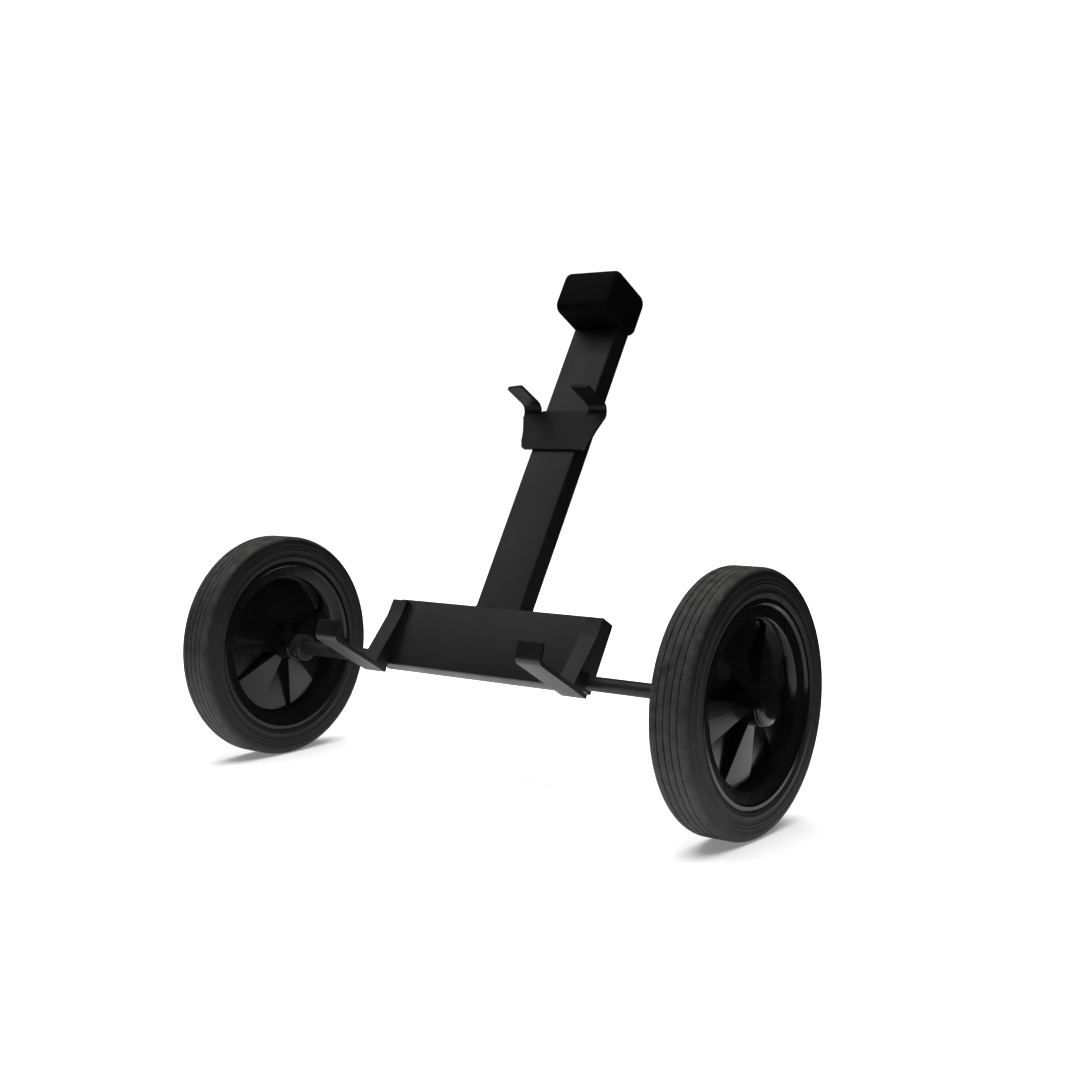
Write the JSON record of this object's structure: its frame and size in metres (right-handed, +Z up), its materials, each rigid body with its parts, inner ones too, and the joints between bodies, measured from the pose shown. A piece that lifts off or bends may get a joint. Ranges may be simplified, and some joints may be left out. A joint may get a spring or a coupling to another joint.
{
  "type": "ball machine transport trolley",
  "caption": "Two-wheeled leaning trolley with a boxed crossbar, hooked toe bars, a column with a horned saddle and a rubber bumper pad.",
  "frame": {"origin": "Centre of the footprint of the whole trolley on the floor, with the column leaning back as in use.", "axes": "+X runs along the axle to the right wheel when seen from the front, +Y is the direction the column leans towards (the back), +Z is up."},
  "size_m": [0.677, 0.373, 0.547],
  "materials": {
    "frame_paint": "satin black powder coat",
    "pad_rubber": "matte moulded rubber",
    "tyre": "matte solid rubber",
    "rim_plastic": "glossy moulded black plastic",
    "black_steel": "black oxide steel",
    "zinc_steel": "dull zinc plate",
    "bronze": "sintered bronze"
  },
  "bodies": {
    "frame": {"column_tube": "frame_paint", "crossbar_tube": "frame_paint", "crossbar_end_plate_left": "frame_paint", "crossbar_end_plate_right": "frame_paint", "toe_bar_left": "frame_paint", "toe_bar_right": "frame_paint", "toe_brace_left": "frame_paint", "toe_brace_right": "frame_paint", "saddle_bracket": "frame_paint", "top_pad": "pad_rubber", "axle_rod": "black_steel", "left_washer_outer": "zinc_steel", "left_push_nut": "zinc_steel", "left_washer_inner": "zinc_steel", "left_collar": "black_steel", "left_collar_screw": "zinc_steel", "right_washer_outer": "zinc_steel", "right_push_nut": "zinc_steel", "right_washer_inner": "zinc_steel", "right_collar": "black_steel", "right_collar_screw": "zinc_steel"},
    "left_wheel": {"left_tyre": "tyre", "left_rim": "rim_plastic", "left_bushing_inner": "bronze", "left_bushing_outer": "bronze", "left_hub_cap": "rim_plastic"},
    "right_wheel": {"right_tyre": "tyre", "right_rim": "rim_plastic", "right_bushing_inner": "bronze", "right_bushing_outer": "bronze", "right_hub_cap": "rim_plastic"}
  },
  "joints": [
    {"name": "left_wheel_spin", "type": "hinge", "parent": "frame", "child": "left_wheel", "pos_m": [-0.3069, -0.06152, 0.125], "axis": [1, 0, 0], "continuous": true},
    {"name": "right_wheel_spin", "type": "hinge", "parent": "frame", "child": "right_wheel", "pos_m": [0.3069, -0.06152, 0.125], "axis": [1, 0, 0], "continuous": true}
  ]
}
